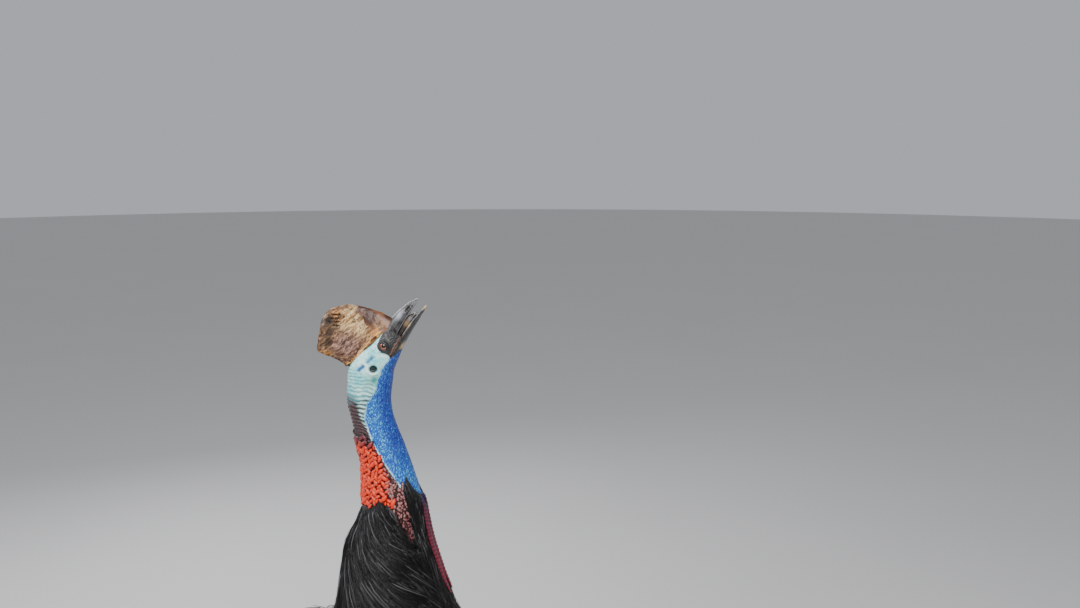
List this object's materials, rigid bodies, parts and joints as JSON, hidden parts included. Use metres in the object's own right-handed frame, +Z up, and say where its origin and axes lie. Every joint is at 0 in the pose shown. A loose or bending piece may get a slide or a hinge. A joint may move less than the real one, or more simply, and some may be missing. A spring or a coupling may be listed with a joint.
{
  "type": "southern cassowary",
  "caption": "Life-size southern cassowary model standing with its neck stretched up, head tipped back and bill a little open.",
  "frame": {"origin": "on the floor, under the middle of the whole bird's bounding box", "axes": "+X the way the bird faces, +Y its left, +Z up"},
  "size_m": [0.8802, 0.5146, 1.6893],
  "materials": {
    "plumage": "glossy black, hair-like body feathers",
    "face_skin": "bare pale turquoise skin, dark round the eye and ear",
    "neck_skin": "bare cobalt and azure skin, finely wrinkled",
    "nape_skin": "bare red and orange warty skin at the nape",
    "wattle_skin": "soft crimson skin, folded",
    "casque_horn": "worn brown horn, flaking at the back",
    "bill_horn": "dark grey horn, paler along the edges",
    "eyeball": "wet orange-brown iris and black pupil",
    "leg_scale": "grey-brown scales and scutes",
    "claw_horn": "dark polished horn",
    "quill_horn": "bare black quills"
  },
  "bodies": {
    "root": {"bill_lower": "bill_horn", "bill_upper": "bill_horn", "casque": "casque_horn", "claw_inner_left": "claw_horn", "claw_inner_right": "claw_horn", "claw_middle_left": "claw_horn", "claw_middle_right": "claw_horn", "claw_outer_left": "claw_horn", "claw_outer_right": "claw_horn", "eye_left": "eyeball", "eye_right": "eyeball", "head": "face_skin", "neck_base": "plumage", "neck_lower": "nape_skin", "neck_middle": "neck_skin", "neck_upper": "neck_skin", "shank_left": "leg_scale", "shank_right": "leg_scale", "tail": "plumage", "thigh_left": "plumage", "thigh_right": "plumage", "toe_inner_left": "leg_scale", "toe_inner_right": "leg_scale", "toe_middle_left": "leg_scale", "toe_middle_right": "leg_scale", "toe_outer_left": "leg_scale", "toe_outer_right": "leg_scale", "torso": "plumage", "wattle_left": "wattle_skin", "wattle_right": "wattle_skin", "wing_left": "quill_horn", "wing_right": "quill_horn"}
  },
  "joints": []
}
